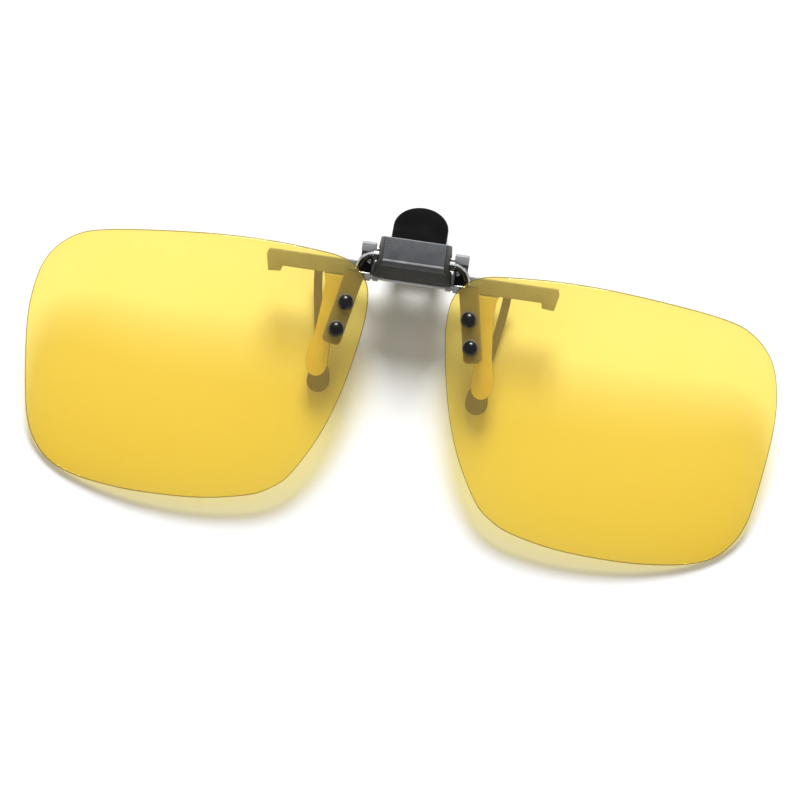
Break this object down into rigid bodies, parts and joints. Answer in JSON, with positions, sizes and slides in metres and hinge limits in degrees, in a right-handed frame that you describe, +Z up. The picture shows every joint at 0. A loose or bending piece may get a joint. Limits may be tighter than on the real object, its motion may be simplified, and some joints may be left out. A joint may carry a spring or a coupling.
{
  "type": "clip-on flip-up lenses",
  "caption": "Frameless tinted lens pair that clips on spectacles and flips up on a spring-jaw clip with brow bars and a thumb tab.",
  "frame": {"origin": "middle of the footprint, on the surface that it lies on, with the lenses face up", "axes": "+X to the side along the hinge, +Y from the lenses' lower edges towards the thumb tab, +Z up out of the lens fronts"},
  "size_m": [0.1338, 0.0582, 0.0182],
  "materials": {
    "jaw_plastic": "satin",
    "housing_plastic": "fine texture",
    "gloss_black": "gloss",
    "steel": "satin",
    "rivet": "gloss black",
    "washer": "clear grey",
    "lens": "clear yellow tint",
    "sleeve": "translucent",
    "tip_rubber": "matte"
  },
  "bodies": {
    "clip": {"front_jaw": "jaw_plastic", "housing_cover": "housing_plastic", "jaw_pin": "steel", "jaw_spring": "steel", "flip_axle": "steel", "flip_spring": "steel", "friction_washer_right": "steel", "friction_washer_left": "steel", "front_sleeve_right": "sleeve", "front_sleeve_left": "sleeve"},
    "jaw": {"rear_jaw": "gloss_black", "rear_tip_right": "tip_rubber", "rear_tip_left": "tip_rubber"},
    "lens_pair": {"lens_arm_right": "gloss_black", "lens_arm_left": "gloss_black", "bridge_rod": "steel", "rod_collar_right": "steel", "rod_collar_left": "steel", "lens_right": "lens", "lens_left": "lens", "rivet_upper_right": "rivet", "rivet_upper_left": "rivet", "rivet_lower_right": "rivet", "rivet_lower_left": "rivet", "rivet_washer_upper_right": "washer", "rivet_washer_upper_left": "washer", "rivet_washer_lower_right": "washer", "rivet_washer_lower_left": "washer"}
  },
  "joints": [
    {"name": "lens_flip", "type": "hinge", "parent": "clip", "child": "lens_pair", "pos_m": [0, 0.01775, 0.01422], "axis": [-1, 0, 0], "range_deg": [0, 105]},
    {"name": "jaw_open", "type": "hinge", "parent": "clip", "child": "jaw", "pos_m": [0, 0.01804, 0.00811], "axis": [1, 0, 0], "range_deg": [0, 24], "stiffness_Nm_per_rad": 0.012, "springref_deg": -80.21, "deforming": ["jaw_spring"]}
  ]
}
